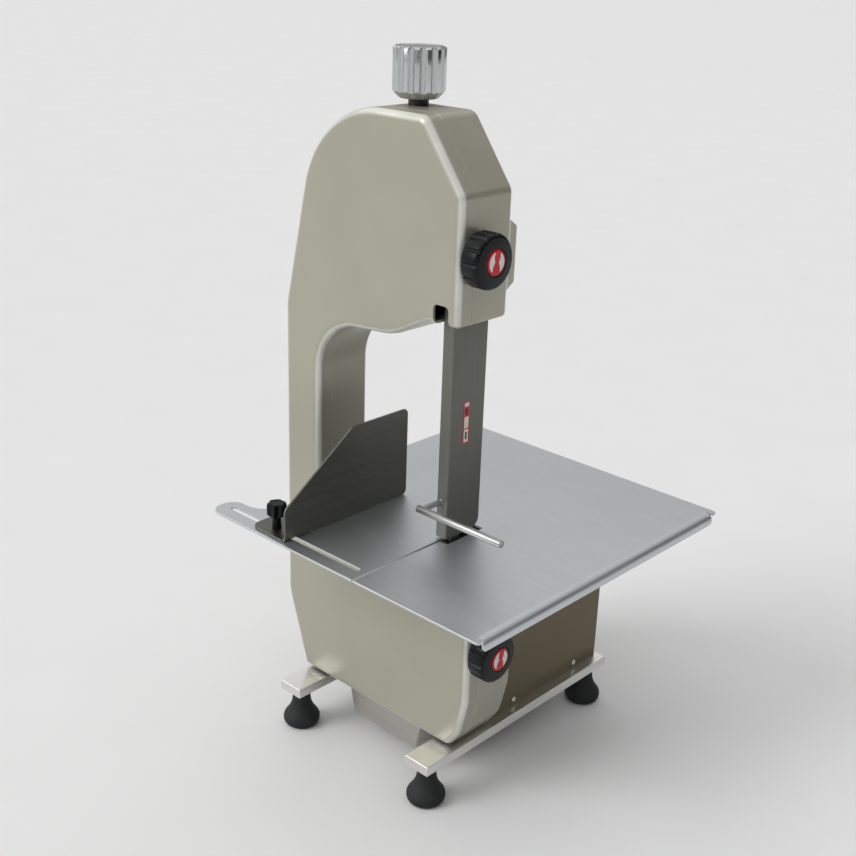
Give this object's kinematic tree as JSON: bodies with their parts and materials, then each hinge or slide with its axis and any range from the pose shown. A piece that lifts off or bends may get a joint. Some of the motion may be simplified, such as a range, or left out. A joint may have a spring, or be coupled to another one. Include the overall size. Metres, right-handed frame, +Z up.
{
  "type": "bone saw",
  "caption": "Table-top butcher's band saw: C-shaped hinged casing, steel table with side fence, sliding blade guard, tension knob, waste drawer and rubber feet.",
  "frame": {"origin": "on the surface the saw stands on, under the middle of its bounding box", "axes": "+Z up; the operator stands at -Y facing +Y; the cut and the table's free edge are at +X, the column at -X"},
  "size_m": [0.412, 0.412, 0.798],
  "materials": {
    "satin_casting": "satin clear-coated cast aluminium, fine vertical grain",
    "table_steel": "brushed stainless sheet",
    "bright_steel": "bright rolled bar and screws",
    "housing_steel": "semi-polished stainless sheet",
    "guard_steel": "dark brushed stainless sheet",
    "fence_steel": "dark brushed stainless sheet with bright cut edges",
    "drawer_steel": "folded stainless sheet",
    "knob_metal": "turned and fluted, satin",
    "dark_metal": "blackened steel",
    "machine_iron": "machined casting",
    "blade_steel": "cold-rolled band",
    "guide_brass": "machined",
    "foot_rubber": "moulded charcoal rubber",
    "knob_plastic": "moulded black plastic",
    "cap_red": "red cap with a pale ring pattern",
    "black_plastic": "moulded",
    "button_green": "moulded",
    "button_red": "moulded"
  },
  "bodies": {
    "frame": {"rear_casting": "satin_casting", "head_back_boss": "satin_casting", "motor_housing": "housing_steel", "housing_back_panel": "housing_steel", "motor_body": "machine_iron", "motor_flange": "machine_iron", "motor_fan_cover": "black_plastic", "start_capacitor": "black_plastic", "base_rail_left": "bright_steel", "base_rail_right": "bright_steel", "foot_front_left": "foot_rubber", "foot_front_right": "foot_rubber", "foot_rear_left": "foot_rubber", "foot_rear_right": "foot_rubber", "foot_bolts": "bright_steel", "rail_bolts": "bright_steel", "table_top": "table_steel", "table_support_left": "dark_metal", "table_support_right": "dark_metal", "table_screws": "bright_steel", "housing_screws": "bright_steel", "saw_blade": "blade_steel", "upper_blade_guide": "guide_brass", "lower_blade_guide": "dark_metal", "blade_scraper": "guide_brass", "wheel_scraper": "guide_brass", "frame_hinges": "bright_steel", "hinge_pins": "bright_steel", "lock_studs": "bright_steel", "cable_gland": "black_plastic", "switch_box": "black_plastic", "tension_guides": "bright_steel", "tension_collar": "dark_metal", "guard_guide_block": "guide_brass", "drawer_runners": "bright_steel"},
    "door": {"door_shell": "satin_casting", "door_hinges": "bright_steel"},
    "carriage": {"wheel_carriage": "machine_iron", "upper_axle": "bright_steel"},
    "tension_knob_body": {"tension_knob": "knob_metal", "tension_screw": "bright_steel"},
    "upper_wheel_body": {"upper_wheel": "machine_iron", "upper_bearings": "bright_steel"},
    "lower_wheel_body": {"lower_wheel": "machine_iron", "motor_shaft": "bright_steel", "motor_rotor": "machine_iron", "motor_fan": "black_plastic", "wheel_bolt": "bright_steel"},
    "guard": {"blade_guard": "guard_steel", "guard_handle": "bright_steel"},
    "fence": {"fence_plate": "fence_steel", "fence_bolt": "bright_steel"},
    "fence_knob_body": {"fence_knob": "knob_plastic"},
    "head_lock": {"head_lock_knob": "knob_plastic", "head_lock_cap": "cap_red"},
    "base_lock": {"base_lock_knob": "knob_plastic", "base_lock_cap": "cap_red"},
    "drawer": {"waste_drawer": "drawer_steel"},
    "start_button_body": {"start_button": "button_green"},
    "stop_button_body": {"stop_button": "button_red"}
  },
  "joints": [
    {"name": "door_hinge", "type": "hinge", "parent": "frame", "child": "door", "pos_m": [-0.2005, -0.068, 0.35], "axis": [0, 0, -1], "range_deg": [0, 110]},
    {"name": "carriage_slide", "type": "slide", "parent": "frame", "child": "carriage", "axis": [0, 0, 1], "range_m": [-0.006, 0]},
    {"name": "tension_knob_turn", "type": "hinge", "parent": "frame", "child": "tension_knob_body", "pos_m": [-0.049, -0.036, 0.77], "axis": [0, 0, 1], "range_deg": [-1440, 0]},
    {"name": "upper_wheel_spin", "type": "hinge", "parent": "carriage", "child": "upper_wheel_body", "pos_m": [-0.057, -0.054, 0.624], "axis": [0, 1, 0], "continuous": true},
    {"name": "lower_wheel_spin", "type": "hinge", "parent": "frame", "child": "lower_wheel_body", "pos_m": [-0.057, -0.054, 0.17], "axis": [0, 1, 0], "continuous": true},
    {"name": "guard_slide", "type": "slide", "parent": "frame", "child": "guard", "axis": [0, 0, 1], "range_m": [0, 0.085]},
    {"name": "fence_slide", "type": "slide", "parent": "frame", "child": "fence", "axis": [1, 0, 0], "range_m": [-0.06, 0.09]},
    {"name": "fence_knob_turn", "type": "hinge", "parent": "fence", "child": "fence_knob_body", "pos_m": [-0.098, -0.186, 0.33], "axis": [0, 0, 1], "range_deg": [0, 540]},
    {"name": "head_lock_turn", "type": "hinge", "parent": "frame", "child": "head_lock", "pos_m": [0.075, -0.068, 0.611], "axis": [1, 0, 0], "range_deg": [0, 720]},
    {"name": "base_lock_turn", "type": "hinge", "parent": "frame", "child": "base_lock", "pos_m": [0.109, -0.068, 0.188], "axis": [1, 0, 0], "range_deg": [0, 720]},
    {"name": "drawer_slide", "type": "slide", "parent": "frame", "child": "drawer", "axis": [0, -1, 0], "range_m": [0, 0.055]},
    {"name": "start_button_press", "type": "slide", "parent": "frame", "child": "start_button_body", "axis": [1, 0, 0], "range_m": [0, 0.003], "stiffness_N_per_m": 400, "springref_m": -0.001},
    {"name": "stop_button_press", "type": "slide", "parent": "frame", "child": "stop_button_body", "axis": [1, 0, 0], "range_m": [0, 0.004], "stiffness_N_per_m": 400, "springref_m": -0.001}
  ],
  "couplings": [
    {"joint": "upper_wheel_spin", "follows": "lower_wheel_spin", "ratio": 1},
    {"joint": "tension_knob_turn", "follows": "carriage_slide", "rad_per_m": 4188.8}
  ]
}
